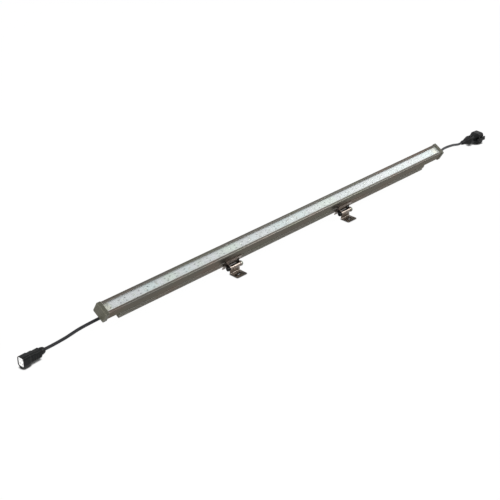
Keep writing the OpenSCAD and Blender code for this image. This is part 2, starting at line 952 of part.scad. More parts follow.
module latch_ears() {
    for (side = [-1, 1])
        translate([0, side * (latch_w / 2 + latch_ear_gap + latch_ear_t / 2), 0])
            difference() {
                union() {
                    at_latch_pin()
                        cylinder(r = latch_ear_r, h = latch_ear_t, center = true);
                    translate([latch_pin_x - latch_ear_r, -latch_ear_t / 2, latch_z])
                        cube([2 * latch_ear_r, latch_ear_t, socket_h / 2]);
                }
                at_latch_pin()
                    cylinder(r = latch_pin_r, h = latch_ear_t + 2 * overrun, center = true);
            }
}

module socket_latch() {
    back_x = latch_front - latch_len;
    color([0.10, 0.10, 0.11])
        in_socket()
            difference() {
                union() {
                    translate([0, latch_w / 2, latch_z])
                        rotate([90, 0, 0])
                            linear_extrude(latch_w)
                                polygon([
                                    [back_x, latch_t / 2], [back_x, 0], [back_x + latch_t, -latch_t / 2],
                                    [latch_front - latch_hook_len, -latch_t / 2], [latch_front, 0],
                                    [latch_front - latch_hook_len / 2, latch_hook_t],
                                    [latch_front - latch_hook_len, latch_hook_t],
                                    [latch_front - latch_hook_len, latch_t / 2]
                                ]);
                    at_latch_pin()
                        cylinder(r = latch_ear_r - latch_ear_gap, h = latch_w, center = true);
                }
                at_latch_pin()
                    cylinder(r = latch_pin_r + run_gap, h = latch_w + 2 * overrun, center = true);
            }
}

module latch_pin() {
    color([0.72, 0.72, 0.72])
        in_socket()
            at_latch_pin()
                cylinder(r = latch_pin_r, h = latch_w + 2 * (latch_ear_gap + latch_ear_t), center = true);
}

// Places a child at a bracket: side is -1 for the left one and 1 for the right one
module at_bracket(side) {
    translate([side * foot_spacing / 2, 0, 0])
        children();
}

module clamp_plate(side) {
    color([0.66, 0.62, 0.59])
        at_bracket(side)
            in_bar() {
                difference() {
                    union() {
                        clamp_front();
                        for (end = [-1, 1])
                            translate([end * (ear_x + sheet_t / 2), 0, 0])
                                clamp_ear();
                        along_x(-clamp_left_reach, clamp_right_reach)
                            translate([-clamp_y - sheet_t, hook_z])
                                square([clamp_y + sheet_t - hook_y, sheet_t]);
                        translate([-tongue_w / 2, -clamp_y - sheet_t, -slide_gap - sheet_t])
                            cube([tongue_w, clamp_y + sheet_t + tongue_back, sheet_t]);
                    }
                    translate([0, -pivot_fwd, -pivot_drop])
                        rod_x(bolt_r + hole_gap, -ear_x - sheet_t - overrun, ear_x + sheet_t + overrun);
                    translate([0, 0, -slide_gap - sheet_t - overrun])
                        cylinder(r = bolt_r + hole_gap, h = sheet_t + 2 * overrun);
                }
            }
}

// The plate in front of the rail: a wing to the left and a window between the ears, under which
// the tongue turns back beneath the rail
module clamp_front() {
    translate([0, -clamp_y, 0])
        rotate([90, 0, 0])
            linear_extrude(sheet_t)
                difference() {
                    clamp_outline();
                    translate([-ear_x, strip_top])
                        square([2 * ear_x, window_top - strip_top]);
                    translate([-clamp_left_reach + wing_hole_inset, -clamp_drop + wing_hole_inset])
                        circle(wing_hole_r);
                }
}

module clamp_outline() {
    left = -clamp_left_reach;
    top = hook_z + sheet_t;
    r = wing_corner_r;
    polygon(concat(
        arc([left + r, -clamp_drop + r], r, 180, 270),
        arc([clamp_right_reach - r, -clamp_drop + r], r, 270, 360),
        [[clamp_right_reach, top], [left, top]]
    ));
}

module clamp_ear() {
    translate([0, -pivot_fwd, -pivot_drop])
        rod_x(ear_r, -sheet_t / 2, sheet_t / 2);
    translate([-sheet_t / 2, -pivot_fwd, -pivot_drop - ear_r])
        cube([sheet_t, pivot_fwd - clamp_y, 2 * ear_r]);
}

// The screw that draws the tongue up against the rail, with its washer and slot nut
module clamp_screw(side) {
    under = -slide_gap - sheet_t - washer_t;
    color([0.70, 0.70, 0.71])
        at_bracket(side)
            in_bar()
                difference() {
                    union() {
                        translate([0, 0, under])
                            cylinder(r = bolt_r, h = slot_lip_t + nut_block_h + slide_gap - under);
                        translate([0, 0, under - head_h / 2])
                            cylinder(r = head_r, h = head_h / 2);
                    }
                    translate([0, 0, under - head_h / 2 - eps])
                        cylinder(d = key_af / cos(180 / hex_points), h = head_h / 3, $fn = hex_points);
                }
}

module clamp_washer(side) {
    color([0.74, 0.74, 0.74])
        at_bracket(side)
            in_bar()
                translate([0, 0, -slide_gap - sheet_t - washer_t])
                    difference() {
                        cylinder(r = washer_r, h = washer_t);
                        translate([0, 0, -overrun])
                            cylinder(r = bolt_r + hole_gap, h = washer_t + 2 * overrun);
                    }
}

module slot_nut(side) {
    color([0.68, 0.68, 0.66])
        at_bracket(side)
            in_bar()
                translate([0, 0, slot_lip_t + slide_gap])
                    difference() {
                        translate([-nut_block_l / 2, -slot_inner_w / 2 + 2 * slide_gap, 0])
                            cube([nut_block_l, slot_inner_w - 4 * slide_gap, nut_block_h]);
                        translate([0, 0, -overrun])
                            cylinder(r = bolt_r, h = nut_block_h + 2 * overrun);
                    }
}

// The hinge bolt: a black socket head cap screw through both ears and the foot's knuckle
bolt_tail = 0.8;
module at_pivot(side) {
    translate([side * foot_spacing / 2, pivot_y, pivot_z])
        rotate([tilt, 0, 0])
            children();
}

module pivot_bolt(side) {
    out = ear_x + sheet_t;
    color([0.08, 0.08, 0.08])
        at_pivot(side)
            difference() {
                union() {
                    rod_x(bolt_r, -out - eps, out + washer_t + nut_h + bolt_tail);
                    rod_x(head_r, -out - head_h, -out);
                }
                hex_x(key_af, -out - head_h - eps, -out - head_h + key_depth);
            }
}

module pivot_washer(side) {
    out = ear_x + sheet_t;
    color([0.74, 0.74, 0.74])
        at_pivot(side)
            difference() {
                rod_x(washer_r, out, out + washer_t);
                rod_x(bolt_r + hole_gap, out - overrun, out + washer_t + overrun);
            }
}

module pivot_nut(side) {
    base = ear_x + sheet_t + washer_t;
    color([0.66, 0.66, 0.64])
        at_pivot(side)
            difference() {
                union() {
                    rod_x(flange_r, base, base + flange_h);
                    hex_x(nut_af, base, base + nut_h);
                }
                rod_x(bolt_r, base - overrun, base + nut_h + overrun);
            }
}

// A foot: a strip of stainless sheet, rolled into a knuckle at the top of its web and bent
// forward into a slotted sole
module foot_section() {
    bend_in = sheet_t / 1.5;
    bend_out = bend_in + sheet_t;
    web_back = pivot_y + sheet_t / 2;
    translate([web_back - sheet_t, bend_out])
        square([sheet_t, pivot_z - bend_out - knuckle_bore_r]);
    translate([web_back - bend_out, bend_out])
        difference() {
            circle(bend_out);
            circle(bend_in);
            translate([-bend_out - overrun, -bend_out - overrun])
                square([bend_out + overrun, 2 * (bend_out + overrun)]);
            translate([-bend_out, 0])
                square([2 * bend_out + overrun, bend_out + overrun]);
        }
    translate([-foot_front, 0])
        square([web_back - bend_out + foot_front, sheet_t]);
    translate([pivot_y, pivot_z])
        circle(knuckle_r);
}

module foot(side) {
    color([0.52, 0.48, 0.44])
        at_bracket(side)
            difference() {
                along_x(-foot_w / 2, foot_w / 2)
                    foot_section();
                translate([0, pivot_y, pivot_z])
                    rod_x(knuckle_bore_r, -foot_w / 2 - overrun, foot_w / 2 + overrun);
                translate([0, 0, -overrun])
                    linear_extrude(sheet_t + 2 * overrun) {
                        square([slot_len - slot_hole_w, slot_hole_w], center = true);
                        for (end = [-1, 1])
                            translate([end * (slot_len - slot_hole_w) / 2, 0])
                                circle(d = slot_hole_w);
                    }
                translate([web_hole_x, pivot_y, pivot_z - knuckle_r - web_hole_r])
                    rotate([90, 0, 0])
                        cylinder(r = web_hole_r, h = 2 * sheet_t, center = true);
            }
}

housing();
lens();
lens_seals();
led_board(0);  // led_board_1
led_board(1);  // led_board_2
led_board(2);  // led_board_3
led_board(3);  // led_board_4
led_packages();
led_domes();
board_parts();
board_screws();
board_links();
driver_board();
driver_parts();
supply_wires_left();
supply_wires_right();
feed_wires();
end_cap(-1);  // end_cap_left
end_cap(1);  // end_cap_right
cap_gasket(-1);  // cap_gasket_left
cap_gasket(1);  // cap_gasket_right
cap_screw(-1);  // cap_screw_left
cap_screw(1);  // cap_screw_right
entry_block(-1);  // entry_block_left
entry_block(1);  // entry_block_right
entry_nut(-1);  // entry_nut_left
entry_nut(1);  // entry_nut_right
entry_boot(-1);  // entry_boot_left
entry_boot(1);  // entry_boot_right
lead_left();
lead_right();
plug_shell();
plug_insert();
plug_pins();
plug_seal();
plug_boot();
socket_shell();
socket_insert();
socket_contacts();
socket_boot();
socket_latch();
latch_pin();
clamp_plate(-1);  // clamp_plate_left
clamp_plate(1);  // clamp_plate_right
clamp_screw(-1);  // clamp_screw_left
clamp_screw(1);  // clamp_screw_right
clamp_washer(-1);  // clamp_washer_left
clamp_washer(1);  // clamp_washer_right
slot_nut(-1);  // slot_nut_left
slot_nut(1);  // slot_nut_right
pivot_bolt(-1);  // pivot_bolt_left
pivot_bolt(1);  // pivot_bolt_right
pivot_washer(-1);  // pivot_washer_left
pivot_washer(1);  // pivot_washer_right
pivot_nut(-1);  // pivot_nut_left
pivot_nut(1);  // pivot_nut_right
foot(-1);  // foot_left
foot(1);  // foot_right
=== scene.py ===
import math

import bpy
from mathutils import Matrix, Vector


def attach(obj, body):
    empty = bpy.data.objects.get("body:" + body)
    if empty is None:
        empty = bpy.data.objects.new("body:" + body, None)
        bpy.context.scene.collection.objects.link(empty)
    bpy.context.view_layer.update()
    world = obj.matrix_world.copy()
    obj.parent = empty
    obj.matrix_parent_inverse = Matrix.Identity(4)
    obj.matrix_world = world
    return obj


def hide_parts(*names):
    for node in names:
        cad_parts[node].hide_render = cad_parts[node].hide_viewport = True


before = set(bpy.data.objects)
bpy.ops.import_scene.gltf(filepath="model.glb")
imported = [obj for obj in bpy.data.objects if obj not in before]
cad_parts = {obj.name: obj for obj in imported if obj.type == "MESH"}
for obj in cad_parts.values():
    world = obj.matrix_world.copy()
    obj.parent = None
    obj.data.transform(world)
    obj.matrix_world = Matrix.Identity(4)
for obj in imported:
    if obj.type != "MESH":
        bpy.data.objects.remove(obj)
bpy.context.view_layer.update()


# Camera
# It stands where the photograph was taken from: 45.5 degrees to the left of the light's front and
# 28.5 degrees up, 2.4 metres away, with a long lens that shows both connectors.
MM = 0.001
CAMERA_AT = Vector((-1552.2, -1389.7, 1119.6)) * MM
CAMERA_RIGHT = Vector((0.7006, -0.7136, 0.0))
CAMERA_BACK = Vector((-0.6271, -0.6157, 0.4772)).normalized()
CAMERA_LENS = 82.73
SENSOR = 36.0

camera_up = CAMERA_BACK.cross(CAMERA_RIGHT).normalized()
camera_right = camera_up.cross(CAMERA_BACK).normalized()
camera_data = bpy.data.cameras.new("camera")
camera_data.lens = CAMERA_LENS
camera_data.sensor_width = SENSOR
camera_data.sensor_fit = "HORIZONTAL"
camera = bpy.data.objects.new("camera", camera_data)
camera.matrix_world = (
    Matrix.Translation(CAMERA_AT)
    @ Matrix((camera_right, camera_up, CAMERA_BACK)).transposed().to_4x4()
)
bpy.context.collection.objects.link(camera)
bpy.context.scene.camera = camera


# Housing
# One aluminium extrusion, 982 mm long, anodised dark bronze: a lens channel over a waisted rail.
# The die leaves faint lines along it, and the oxide is a shade browner or greener here and there.
def colour(text):
    """A colour written as six sRGB hex digits, in linear values."""
    linear = []
    for i in (0, 2, 4):
        c = int(text[i : i + 2], 16) / 255
        linear.append(c / 12.92 if c <= 0.04045 else ((c + 0.055) / 1.055) ** 2.4)
    return (*linear, 1.0)


def add(tree, kind, inputs=None, **settings):
    """A node with its settings, and with each input set to a value or linked to an output."""
    node = tree.nodes.new(kind)
    for key, value in settings.items():
        setattr(node, key, value)
    for key, value in (inputs or {}).items():
        if isinstance(value, bpy.types.NodeSocket):
            tree.links.new(value, node.inputs[key])
        else:
            node.inputs[key].default_value = value
    return node


def new_finish(name, **inputs):
    """A material, its node tree and its surface shader with these values on its own sockets."""
    material = bpy.data.materials.new(name)
    material.use_nodes = True
    surface = material.node_tree.nodes["Principled BSDF"]
    for key, value in inputs.items():
        surface.inputs[key.replace("_", " ")].default_value = value
    return material, material.node_tree, surface


def pattern(tree, size, stretch=(1, 1, 1), detail=3.0):
    """A mottled pattern from 0 to 1 with spots of a size in millimetres, fixed to the piece."""
    place = add(
        tree, "ShaderNodeMapping",
        {
            "Vector": add(tree, "ShaderNodeTexCoord").outputs["Object"],
            "Scale": [1 / (size * MM * s) for s in stretch],
        },
    )
    return add(
        tree, "ShaderNodeTexNoise", {"Vector": place.outputs[0], "Scale": 1.0, "Detail": detail}
    ).outputs["Fac"]


def dress(material, *nodes):
    """Gives CAD nodes their finish."""
    for name in nodes:
        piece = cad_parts[name]
        if not piece.material_slots:
            piece.data.materials.append(material)
        for slot in piece.material_slots:
            slot.link = "OBJECT"
            slot.material = material


# How far a face's direction agrees with its rounded one: a flat stretch, and a sharp edge.
FLAT_AGREES, EDGE_AGREES = 0.99, 0.88


# The mask for painted highlights along sharp edges.
def edge_highlight_mask(tree, width):
    """1 on sharp edges, fading to 0 within a width in millimetres of them."""
    rounded = add(tree, "ShaderNodeBevel", {"Radius": width * MM}, samples=4)
    flat = add(tree, "ShaderNodeNewGeometry")
    turn = add(
        tree, "ShaderNodeVectorMath",
        {0: rounded.outputs[0], 1: flat.outputs["Normal"]}, operation="DOT_PRODUCT",
    )
    return add(
        tree, "ShaderNodeMapRange",
        {"Value": turn.outputs["Value"], "From Min": FLAT_AGREES, "From Max": EDGE_AGREES},
    ).outputs[0]


# Bronze anodised aluminium. The oxide turns the metal's mirror into a soft brownish sheen, and a
# painted highlight makes the sharp edges paler. Die lines are under 0.1 mm apart on the real
# one, and are drawn at 0.8 mm so that they show.
ANODISED_DARK, ANODISED_LIGHT = "504e49", "5a5853"
ANODISED_BROWN, ANODISED_OLIVE, ANODISED_HIGHLIGHT = "5e4d44", "54564a", "cccbc6"
OXIDE_SHEEN, OXIDE_METAL = "bfbab1", 0.8
TONE_SIZE, BROWN_SIZE, OLIVE_SIZE = 30, 45, 38
BROWN_STARTS, BROWN_FULL, BROWN_SHARE = 0.50, 0.70, 0.6
OLIVE_STARTS, OLIVE_FULL, OLIVE_SHARE = 0.46, 0.34, 0.5
HIGHLIGHT_WIDTH, HIGHLIGHT_SHARE = 0.9, 0.9
DIE_LINE, DIE_LINE_DEPTH = 0.8, 0.003
DIE_SHINY, DIE_DULL = 0.26, 0.36
anodised, tree, surface = new_finish(
    "anodised_bronze", Metallic=OXIDE_METAL, Specular_Tint=colour(OXIDE_SHEEN)
)
tone = add(
    tree, "ShaderNodeMix",
    {
        0: pattern(tree, TONE_SIZE, stretch=(3, 1, 1)),
        6: colour(ANODISED_DARK),
        7: colour(ANODISED_LIGHT),
    },
    data_type="RGBA",
)
browner = add(
    tree, "ShaderNodeMapRange",
    {
        "Value": pattern(tree, BROWN_SIZE, stretch=(2, 1, 1)),
        "From Min": BROWN_STARTS, "From Max": BROWN_FULL, "To Max": BROWN_SHARE,
    },
)
browned = add(
    tree, "ShaderNodeMix", {0: browner.outputs[0], 6: tone.outputs[2], 7: colour(ANODISED_BROWN)},
    data_type="RGBA",
)
greener = add(
    tree, "ShaderNodeMapRange",
    {
        "Value": pattern(tree, OLIVE_SIZE, stretch=(2, 1, 1)),
        "From Min": OLIVE_STARTS, "From Max": OLIVE_FULL, "To Max": OLIVE_SHARE,
    },
)
greened = add(
    tree, "ShaderNodeMix",
    {0: greener.outputs[0], 6: browned.outputs[2], 7: colour(ANODISED_OLIVE)}, data_type="RGBA",
)
# Painted highlight: the sharp edges are coloured paler to stand for the light they catch.
edge_highlight = add(
    tree, "ShaderNodeMath", {0: edge_highlight_mask(tree, HIGHLIGHT_WIDTH), 1: HIGHLIGHT_SHARE},
    operation="MULTIPLY",
)
base = add(
    tree, "ShaderNodeMix", {0: edge_highlight.outputs[0], 6: greened.outputs[2], 7: colour(ANODISED_HIGHLIGHT)},
    data_type="RGBA",
)
die_lines = pattern(tree, DIE_LINE, stretch=(60, 1, 1), detail=5.0)
shine = add(
    tree, "ShaderNodeMapRange", {"Value": die_lines, "To Min": DIE_SHINY, "To Max": DIE_DULL}
)
relief = add(
    tree, "ShaderNodeBump", {"Height": die_lines, "Distance": DIE_LINE_DEPTH * MM, "Strength": 0.7}
)
tree.links.new(base.outputs[2], surface.inputs["Base Color"])
tree.links.new(shine.outputs[0], surface.inputs["Roughness"])
tree.links.new(relief.outputs[0], surface.inputs["Normal"])
dress(anodised, "housing")


# End caps
# Two die castings in an olive grey powder coat, screwed to the housing over pale silicone gaskets.
# The coat is baked on and keeps a fine orange-peel, and a painted highlight pales its corners.

# Powder coat: low gloss, broken up by the orange-peel, with painted highlight lines along the
# corners.
CAP_LOW, CAP_HIGH, CAP_HIGHLIGHT = "49483d", "535245", "8c8a78"
CAP_GLOSS = 0.3
COAT_CLOUD, CAP_HIGHLIGHT_WIDTH = 12, 0.9
PEEL_SIZE, PEEL_DEPTH = 0.9, 0.01
PEEL_SHINY, PEEL_DULL = 0.40, 0.55
cap_paint, tree, surface = new_finish("cap_powder_coat", Specular_IOR_Level=CAP_GLOSS)
coat = add(
    tree, "ShaderNodeMix", {0: pattern(tree, COAT_CLOUD), 6: colour(CAP_LOW), 7: colour(CAP_HIGH)},
    data_type="RGBA",
)
# Painted highlight: the corners are coloured paler to stand for the light they catch.
corner_highlight = add(
    tree, "ShaderNodeMix",
    {0: edge_highlight_mask(tree, CAP_HIGHLIGHT_WIDTH), 6: coat.outputs[2], 7: colour(CAP_HIGHLIGHT)}, data_type="RGBA",
)
peel = pattern(tree, PEEL_SIZE)
shine = add(tree, "ShaderNodeMapRange", {"Value": peel, "To Min": PEEL_SHINY, "To Max": PEEL_DULL})
relief = add(
    tree, "ShaderNodeBump", {"Height": peel, "Distance": PEEL_DEPTH * MM, "Strength": 0.6}
)
tree.links.new(corner_highlight.outputs[2], surface.inputs["Base Color"])
tree.links.new(shine.outputs[0], surface.inputs["Roughness"])
tree.links.new(relief.outputs[0], surface.inputs["Normal"])
dress(cap_paint, "end_cap_left", "end_cap_right")

MOULD_CLOUD, CLOUD_STARTS, CLOUD_FULL = 9.0, 0.35, 0.65
GRAIN_SHINIER, GRAIN_DULLER = 0.07, 0.09


def moulded(name, low, high, rough, grain=0.35, depth=0.004, gloss=0.5, metal=0.0):
    """Moulded rubber or plastic: a deep plain colour, clouded a little, with the fine even grain of
    a spark-eroded tool, which breaks up its shine. The grain is drawn coarser than the real one,
    so that it shows."""
    material, tree, surface = new_finish(name, Specular_IOR_Level=gloss, Metallic=metal)
    fine = pattern(tree, grain)
    cloud = add(
        tree, "ShaderNodeMapRange",
        {"Value": pattern(tree, MOULD_CLOUD), "From Min": CLOUD_STARTS, "From Max": CLOUD_FULL},
    )
    base = add(
        tree, "ShaderNodeMix", {0: cloud.outputs[0], 6: colour(low), 7: colour(high)},
        data_type="RGBA",
    )
    shine = add(
        tree, "ShaderNodeMapRange",
        {"Value": fine, "To Min": rough - GRAIN_SHINIER, "To Max": rough + GRAIN_DULLER},
    )
    relief = add(tree, "ShaderNodeBump", {"Height": fine, "Distance": depth * MM, "Strength": 0.8})
    tree.links.new(base.outputs[2], surface.inputs["Base Color"])
    tree.links.new(shine.outputs[0], surface.inputs["Roughness"])
    tree.links.new(relief.outputs[0], surface.inputs["Normal"])
    return material


# Silicone rubber, moulded: a pale, soft, almost shineless line round each cap's joint.
pale_silicone = moulded("pale_silicone", "c3c6c2", "d4d6d2", rough=0.5, grain=0.5)
dress(pale_silicone, "cap_gasket_left", "cap_gasket_right")


# Lens
# A clear acrylic strip, finely matted so that it doesn't dazzle, slid into the grooves under the
# rims. It softens the boards a little and takes a dull sheen from the room.

# Extruded acrylic, etched matt: what is under it stays visible, with its outlines blurred.
LENS_TINT, LENS_SHADE = "fafcfb", "f8fafa"
ACRYLIC_IOR = 1.49
HAZE_SIZE, HAZE_LEAST, HAZE_MOST = 6, 0.28, 0.30
matted_acrylic, tree, surface = new_finish(
    "matted_acrylic", IOR=ACRYLIC_IOR, Transmission_Weight=1.0, Base_Color=colour(LENS_TINT)
)
haze = add(
    tree, "ShaderNodeMapRange",
    {
        "Value": pattern(tree, HAZE_SIZE, stretch=(5, 1, 1)),
        "To Min": HAZE_LEAST, "To Max": HAZE_MOST,
    },
)
tree.links.new(haze.outputs[0], surface.inputs["Roughness"])


def let_light_through(tree, surface, shade):
    """A clear piece bends what is seen through it, and lets light on its way pass straight on."""
    ray = add(tree, "ShaderNodeLightPath")
    seen = add(
        tree, "ShaderNodeMath",
        {0: ray.outputs["Is Camera Ray"], 1: ray.outputs["Is Transmission Ray"]},
        operation="MAXIMUM",
    )
    open_way = add(tree, "ShaderNodeBsdfTransparent", {"Color": colour(shade)})
    both = add(
        tree, "ShaderNodeMixShader",
        {0: seen.outputs[0], 1: open_way.outputs[0], 2: surface.outputs[0]},
    )
    tree.links.new(both.outputs[0], tree.nodes["Material Output"].inputs["Surface"])


let_light_through(tree, surface, LENS_SHADE)
dress(matted_acrylic, "lens")


# Lens seals
# Grey silicone strips under both edges of the lens, and a bead of pale silicone run along its front
# edge, where it meets the rim and the rain would stand. The bead shows as a fine bright line.

# Silicone rubber again, painted grey to stand for the shade along the lens's edges: a quiet dark
# edge to the bright boards.
grey_silicone = moulded("grey_silicone", "5c5e5a", "696b67", rough=0.5, grain=0.5)
dress(grey_silicone, "lens_seals")

# The bar's own section, in which the bead, the pads and the part ends are placed: X along the bar,
# Y back and Z up from the foot of the rail, leaning to the front about the hinge.
HINGE_AT = Vector((0, 12.0, 14.1)) * MM
HINGE_TO_RAIL = Vector((0, 22.25, 2.1)) * MM
LEAN = math.radians(30)
BAR = (
    Matrix.Translation(HINGE_AT)
    @ Matrix.Rotation(LEAN, 4, "X")
    @ Matrix.Translation(HINGE_TO_RAIL)
)
HOUSING_LEN = 982.0
BEAD_Y, BEAD_Z, BEAD_R, BEAD_SIDES = -8.1, 36.85, 0.95, 10


def new_tree(name, *inputs):
    """A Geometry Nodes tree with named inputs, and the node that gives them."""
    tree = bpy.data.node_groups.new(name, "GeometryNodeTree")
    tree.interface.new_socket("Geometry", in_out="OUTPUT", socket_type="NodeSocketGeometry")
    tree.interface.new_socket("Geometry", in_out="INPUT", socket_type="NodeSocketGeometry")
    for label, kind in inputs:
        tree.interface.new_socket(label, in_out="INPUT", socket_type="NodeSocket" + kind)
    return tree, add(tree, "NodeGroupInput")


def close_tree(tree, instances, material):
    """Ends a tree: its instances become one real mesh with one finish."""
    real = add(tree, "GeometryNodeRealizeInstances", {"Geometry": instances})
    coated = add(
        tree, "GeometryNodeSetMaterial", {"Geometry": real.outputs[0], "Material": material}
    )
    add(tree, "NodeGroupOutput", {"Geometry": coated.outputs[0]})


def grow(name, tree, spots, section, body, slot, **values):
    """The plain mesh that a tree makes at spots in millimetres of a section, riding on a body."""
    seed = bpy.data.meshes.new(name)
    seed.from_pydata([Vector(p) * MM for p in spots], [], [])
    piece = bpy.data.objects.new(name, seed)
    bpy.context.collection.objects.link(piece)
    grower = piece.modifiers.new("grow", "NODES")
    grower.node_group = tree
    for socket in tree.interface.items_tree:
        if socket.in_out == "INPUT" and socket.name.lower() in values:
            grower[socket.identifier] = values[socket.name.lower()]
    evaluated = piece.evaluated_get(bpy.context.evaluated_depsgraph_get())
    made = bpy.data.meshes.new_from_object(evaluated)
    piece.modifiers.clear()
    piece.data = made
    made.transform(section)
    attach(piece, body)
    return piece


bead_tree, given = new_tree(
    "bead_run",
    ("Length", "Float"), ("Radius", "Float"), ("Sides", "Int"), ("Finish", "Material"),
)
half = add(bead_tree, "ShaderNodeMath", {0: given.outputs["Length"], 1: 0.5}, operation="MULTIPLY")
start = add(bead_tree, "ShaderNodeMath", {0: half.outputs[0], 1: -1.0}, operation="MULTIPLY")
run = add(
    bead_tree, "GeometryNodeCurvePrimitiveLine",
    {
        "Start": add(bead_tree, "ShaderNodeCombineXYZ", {"X": start.outputs[0]}).outputs[0],
        "End": add(bead_tree, "ShaderNodeCombineXYZ", {"X": half.outputs[0]}).outputs[0],
    },
)
round_section = add(
    bead_tree, "GeometryNodeCurvePrimitiveCircle",
    {"Resolution": given.outputs["Sides"], "Radius": given.outputs["Radius"]},
)
bead = add(
    bead_tree, "GeometryNodeCurveToMesh",
    {"Curve": run.outputs[0], "Profile Curve": round_section.outputs[0], "Fill Caps": True},
)
beads = add(
    bead_tree, "GeometryNodeInstanceOnPoints",
    {"Points": given.outputs["Geometry"], "Instance": bead.outputs[0]},
)
close_tree(bead_tree, beads.outputs[0], given.outputs["Finish"])
grow(
    "lens_bead", bead_tree, [(0, BEAD_Y, BEAD_Z)], BAR, "bar", "soft_seal",
    length=HOUSING_LEN * MM, radius=BEAD_R * MM, sides=BEAD_SIDES, finish=pale_silicone,
)


# LED boards
# Four aluminium-core boards, end to end, screen-printed with a white solder mask that stops short
# of the row's outer ends. The mask drifts a little between cool, violet and green along the bar.

# Solder mask, cured epoxy: a bright satin white, with the cream of the bare board at both ends.
MASK_COOL, MASK_VIOLET, MASK_GREEN, BOARD_BARE = "ccd6d6", "d2d1d4", "cfd7ce", "dddac8"
COOL_AT, VIOLET_AT, GREEN_AT = 0.36, 0.52, 0.64
MASK_ROUGH = 0.5
DRIFT_SIZE = 70
BARE_FROM, BARE_FADE = 477.0, 1.0
board_mask, tree, surface = new_finish("white_solder_mask", Roughness=MASK_ROUGH)
drift = add(
    tree, "ShaderNodeValToRGB", {"Fac": pattern(tree, DRIFT_SIZE, stretch=(1, 4, 4), detail=1.0)}
)
drift.color_ramp.elements[0].position = COOL_AT
drift.color_ramp.elements[0].color = colour(MASK_COOL)
drift.color_ramp.elements[1].position = GREEN_AT
drift.color_ramp.elements[1].color = colour(MASK_GREEN)
drift.color_ramp.elements.new(VIOLET_AT).color = colour(MASK_VIOLET)
along = add(
    tree, "ShaderNodeSeparateXYZ", {0: add(tree, "ShaderNodeTexCoord").outputs["Object"]}
)
from_middle = add(tree, "ShaderNodeMath", {0: along.outputs["X"]}, operation="ABSOLUTE")
bare = add(
    tree, "ShaderNodeMapRange",
    {
        "Value": from_middle.outputs[0],
        "From Min": BARE_FROM * MM, "From Max": (BARE_FROM + BARE_FADE) * MM,
    },
)
ended = add(
    tree, "ShaderNodeMix", {0: bare.outputs[0], 6: drift.outputs[0], 7: colour(BOARD_BARE)},
    data_type="RGBA",
)
tree.links.new(ended.outputs[2], surface.inputs["Base Color"])
dress(board_mask, "led_board_1", "led_board_2", "led_board_3", "led_board_4")


# LEDs
# Nine to a board: a cream moulded package under a clear silicone dome, soldered by two tinned pads
# that show as bright tabs at its ends.
BOARD_TOP = 32.0
BOARD_COUNT, BOARD_LEN, LEDS_PER_BOARD = 4, 245.0, 9
LED_PITCH = BOARD_LEN / LEDS_PER_BOARD
BAR_START = -BOARD_COUNT * BOARD_LEN / 2
PACKAGE_SIDE = 3.5
PAD_SIZE = (0.7, 2.6, 0.16)

# White-filled nylon, moulded: a dull cream square, a shade off the board.
led_package = moulded("led_package", "cfd2cc", "d8dad3", rough=0.5, grain=0.3)
dress(led_package, "led_packages")

# Cast silicone: a small round gleam over each package, wavy because it set freely.
DOME_TINT, DOME_IOR, DOME_CLEAR, DOME_ROUGH = "f4f5ef", 1.41, 0.85, 0.08
RIPPLE_SIZE, RIPPLE_DEPTH = 0.7, 0.01
clear_silicone, tree, surface = new_finish(
    "clear_dome", IOR=DOME_IOR, Transmission_Weight=DOME_CLEAR, Base_Color=colour(DOME_TINT),
    Roughness=DOME_ROUGH,
)
ripple = add(
    tree, "ShaderNodeBump",
    {"Height": pattern(tree, RIPPLE_SIZE), "Distance": RIPPLE_DEPTH * MM, "Strength": 0.4},
)
tree.links.new(ripple.outputs[0], surface.inputs["Normal"])
let_light_through(tree, surface, LENS_SHADE)
dress(clear_silicone, "led_domes")

SMEAR_SIZE, SMEAR_STARTS, SMEAR_FULL = 7.0, 0.3, 0.7
SMEAR_SHINIER, SMEAR_DULLER = 0.04, 0.06


def drawn_metal(name, low, high, rough, stroke=1, size=0.35, depth=0.006):
    """Bare metal with the fine marks of its making, drawn out along the bar where it is brushed,
    and duller where it was handled. The marks are drawn coarser than the real ones, so that they
    show."""
    material, tree, surface = new_finish(name, Metallic=1.0)
    marks = pattern(tree, size, stretch=(stroke, 1, 1), detail=4.0)
    base = add(
        tree, "ShaderNodeMix", {0: marks, 6: colour(low), 7: colour(high)}, data_type="RGBA"
    )
    shine = add(
        tree, "ShaderNodeMapRange",
        {
            "Value": pattern(tree, SMEAR_SIZE), "From Min": SMEAR_STARTS, "From Max": SMEAR_FULL,
            "To Min": rough - SMEAR_SHINIER, "To Max": rough + SMEAR_DULLER,
        },
    )
    relief = add(tree, "ShaderNodeBump", {"Height": marks, "Distance": depth * MM, "Strength": 0.6})
    tree.links.new(base.outputs[2], surface.inputs["Base Color"])
    tree.links.new(shine.outputs[0], surface.inputs["Roughness"])
    tree.links.new(relief.outputs[0], surface.inputs["Normal"])
    return material


# Tinned copper, reflowed: bright and a little cloudy.
tinned = drawn_metal("tinned_copper", "aeb0b0", "cdcdcb", rough=0.35)

tab_tree, given = new_tree("tabs", ("Size", "Vector"), ("Finish", "Material"))
tab = add(tab_tree, "GeometryNodeMeshCube", {"Size": given.outputs["Size"]})
tabs = add(
    tab_tree, "GeometryNodeInstanceOnPoints",
    {"Points": given.outputs["Geometry"], "Instance": tab.outputs[0]},
)
close_tree(tab_tree, tabs.outputs[0], given.outputs["Finish"])

led_x = [BAR_START + (i + 0.5) * LED_PITCH for i in range(BOARD_COUNT * LEDS_PER_BOARD)]
grow(
    "led_pads", tab_tree,
    [
        (x + s * (PACKAGE_SIDE + PAD_SIZE[0]) / 2, 0, BOARD_TOP + PAD_SIZE[2] / 2)
        for x in led_x for s in (-1, 1)
    ],
    BAR, "bar", "copper_link", size=Vector(PAD_SIZE) * MM, finish=tinned,
)


